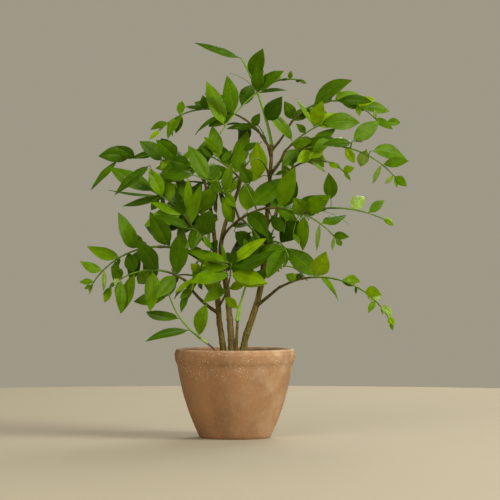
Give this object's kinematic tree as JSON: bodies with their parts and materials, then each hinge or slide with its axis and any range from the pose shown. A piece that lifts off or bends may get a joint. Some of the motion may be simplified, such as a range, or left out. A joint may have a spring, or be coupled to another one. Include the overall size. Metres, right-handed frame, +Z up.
{
  "type": "potted smilax plant",
  "caption": "Bushy smilax with slender woody stems and arching sprays of glossy pointed leaves, growing in a squat terracotta pot.",
  "frame": {"origin": "middle of the pot's flat underside", "axes": "+Z up, -Y towards the front that the picture shows, +X to the right seen from there"},
  "size_m": [0.3929, 0.2571, 0.4909],
  "materials": {
    "terracotta": "matte",
    "soil": "matte",
    "bark": "matte",
    "green_bark": "satin",
    "foliage": "satin"
  },
  "bodies": {
    "root": {"pot": "terracotta", "potting_soil": "soil", "left_stem": "bark", "middle_stem": "bark", "thin_stem": "bark", "right_stem": "bark", "low_shoot": "green_bark", "low_left_bough": "bark", "left_arch_bough": "bark", "left_mid_bough": "bark", "cross_bough": "bark", "low_right_bough": "bark", "right_bough": "bark", "upper_right_bough": "bark", "top_left_bough": "bark", "top_right_bough": "bark", "low_shoot_spray": "foliage", "low_left_spray": "foliage", "left_arch_spray": "foliage", "left_mid_spray": "foliage", "upper_left_spray": "foliage", "left_light_spray": "foliage", "middle_left_spray": "foliage", "top_left_spray": "foliage", "top_spray": "foliage", "top_right_spray": "foliage", "upper_right_spray": "foliage", "right_arch_spray": "foliage", "right_spray": "foliage", "cross_spray": "foliage", "centre_right_spray": "foliage", "low_right_spray": "foliage", "front_spray": "foliage", "hanging_spray": "foliage", "centre_front_spray": "foliage", "centre_top_spray": "foliage", "inner_spray": "foliage", "centre_high_spray": "foliage", "left_rear_spray": "foliage", "rear_left_spray": "foliage", "rear_right_spray": "foliage", "rear_spray": "foliage", "low_left_rear_spray": "foliage", "low_right_rear_spray": "foliage", "top_rear_spray": "foliage", "upper_rear_spray": "foliage", "front_right_spray": "foliage", "front_left_spray": "foliage", "upper_front_spray": "foliage"}
  },
  "joints": []
}
